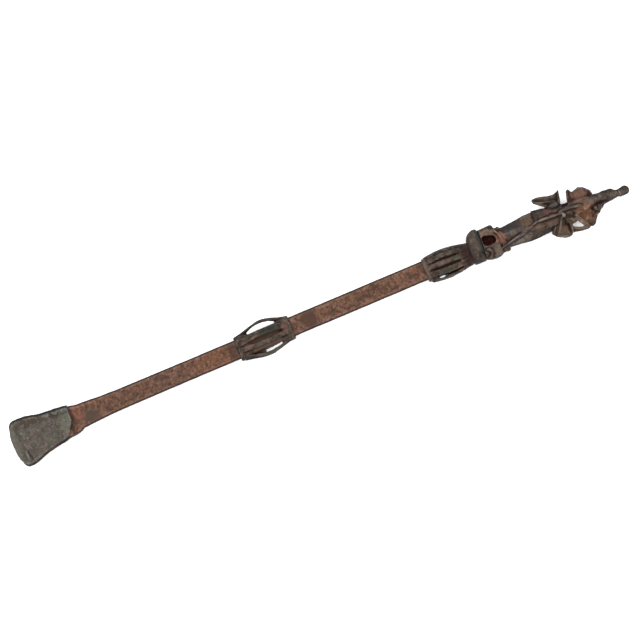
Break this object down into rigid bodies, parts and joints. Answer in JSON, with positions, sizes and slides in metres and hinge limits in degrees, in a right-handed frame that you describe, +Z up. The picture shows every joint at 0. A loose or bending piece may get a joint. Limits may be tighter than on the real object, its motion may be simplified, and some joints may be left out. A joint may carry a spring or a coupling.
{
  "type": "ceremonial staff",
  "caption": "Forged iron ceremonial staff: a flat bar with bowed-strap cages, a spade-shaped foot, an off-centre collar and a leafed head with a windowed housing and a knobbed tip.",
  "frame": {"origin": "on the table under the middle of the lying staff, the centre of the bottom of its bounding box", "axes": "+X along the staff from the foot to the knobbed tip, +Y to the staff's left seen from the foot, +Z up, away from the table"},
  "size_m": [0.6012, 0.0462, 0.0233],
  "materials": {
    "rusted_bar_iron": "wrought iron bar, even matt brown rust with darker worn edges",
    "grey_green_foot_iron": "wrought iron, grey-green patina over brown at the edge, fading to dark iron at the socket",
    "dark_cage_iron": "wrought iron straps, dark grey-brown, dull, lighter where rubbed, red-brown in the gaps",
    "patinated_head_iron": "forged and forge-welded iron, grey-green patina over brown rust, orange rust inside the leaves"
  },
  "bodies": {
    "root": {"shaft": "rusted_bar_iron", "foot_blade": "grey_green_foot_iron", "middle_cage": "dark_cage_iron", "upper_cage": "dark_cage_iron", "offset_collar": "dark_cage_iron", "head": "patinated_head_iron"}
  },
  "joints": []
}
